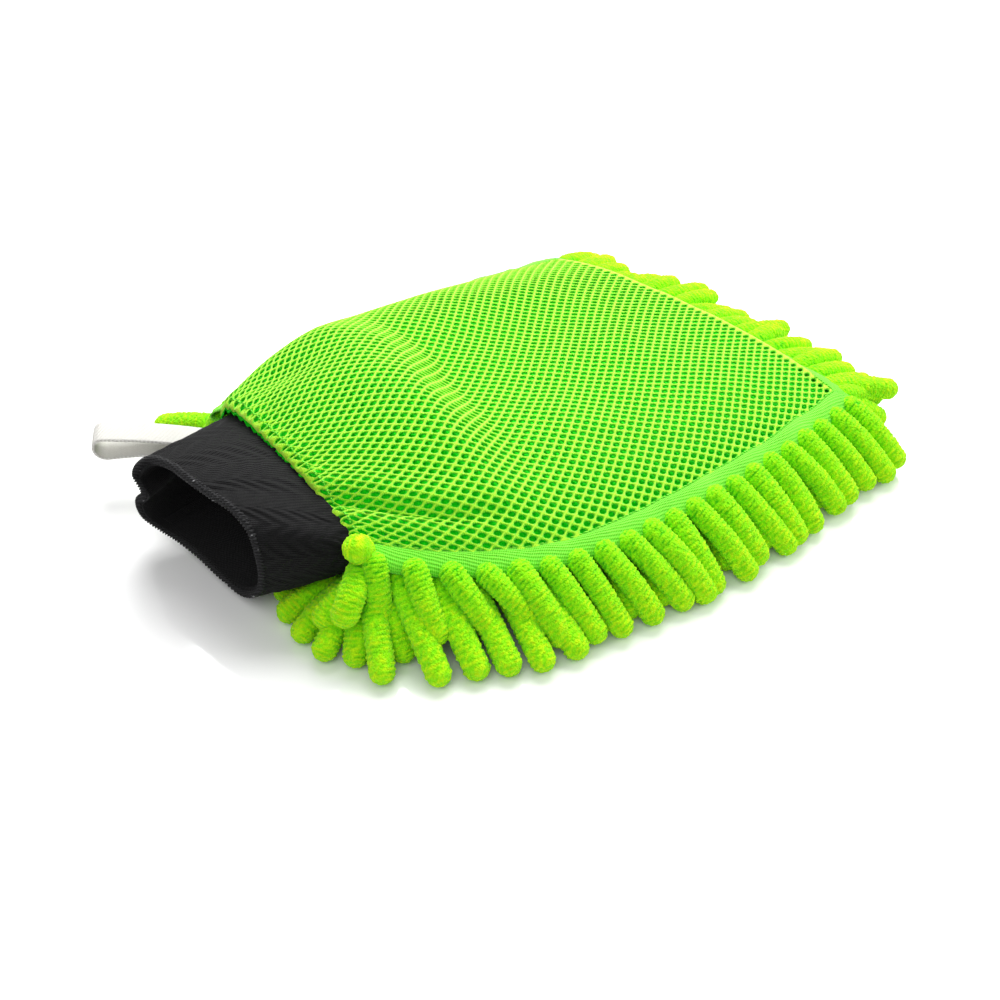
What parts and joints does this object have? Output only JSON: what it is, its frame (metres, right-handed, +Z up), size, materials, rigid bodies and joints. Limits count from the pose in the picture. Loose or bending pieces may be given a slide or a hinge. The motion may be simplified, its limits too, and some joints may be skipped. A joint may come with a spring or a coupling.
{
  "type": "car wash mitt",
  "caption": "Soft wash mitt: spacer mesh back, chenille finger sole and fringe, side bands, knitted wrist cuff and a webbing hanging loop.",
  "frame": {"origin": "middle of the footprint of the whole mitt, on the surface that it lies on", "axes": "+X from the cuff to the finger edge, +Y to the side of the hanging loop, +Z up from the chenille sole to the mesh back"},
  "size_m": [0.2954, 0.2284, 0.053],
  "materials": {
    "spacer_mesh": "matte",
    "lining_cloth": "matte",
    "sole_base_cloth": "matte",
    "band_weave": "matte",
    "sewing_thread": "matte",
    "chenille": "matte",
    "neck_tape": "matte",
    "cuff_knit": "matte",
    "cuff_lining_knit": "matte",
    "elastic_thread": "matte",
    "rim_overlock": "matte",
    "webbing": "matte",
    "tack_thread": "matte"
  },
  "bodies": {
    "mitt": {"back_panel": "spacer_mesh", "back_lining": "lining_cloth", "sole_cloth": "sole_base_cloth", "sole_lining": "lining_cloth", "near_band": "band_weave", "tip_band": "band_weave", "far_band": "band_weave", "back_seam_thread": "sewing_thread", "sole_seam_thread": "sewing_thread", "neck_tape": "neck_tape", "neck_thread": "sewing_thread", "near_fringe": "chenille", "far_fringe": "chenille", "tip_fringe": "chenille", "near_shoulder_fringe": "chenille", "loop_tab": "webbing", "loop_bar_tack": "tack_thread", "sole_row_01": "chenille", "sole_row_02": "chenille", "sole_row_03": "chenille", "sole_row_04": "chenille", "sole_row_05": "chenille", "sole_row_06": "chenille", "sole_row_07": "chenille", "sole_row_08": "chenille", "sole_row_09": "chenille", "sole_row_10": "chenille", "sole_row_11": "chenille", "sole_row_12": "chenille", "sole_row_13": "chenille", "sole_row_14": "chenille", "sole_row_15": "chenille", "sole_row_16": "chenille", "sole_row_17": "chenille", "sole_row_18": "chenille", "sole_row_19": "chenille", "sole_row_20": "chenille"},
    "cuff": {"cuff_outer": "cuff_knit", "cuff_inner": "cuff_lining_knit", "cuff_elastic_threads": "elastic_thread", "cuff_rim_binding": "rim_overlock", "cuff_side_seam": "cuff_lining_knit"},
    "loop": {"hanging_loop": "webbing"}
  },
  "joints": [
    {"name": "cuff_flex", "type": "hinge", "parent": "mitt", "child": "cuff", "pos_m": [-0.10465, 0.0035, 0.038], "axis": [0, 1, 0], "range_deg": [-8, 18], "stiffness_Nm_per_rad": 0.06},
    {"name": "loop_swing", "type": "hinge", "parent": "mitt", "child": "loop", "pos_m": [-0.10505, 0.056, 0.022], "axis": [0.6293, 0.7771, 0], "range_deg": [-16, 90]}
  ]
}
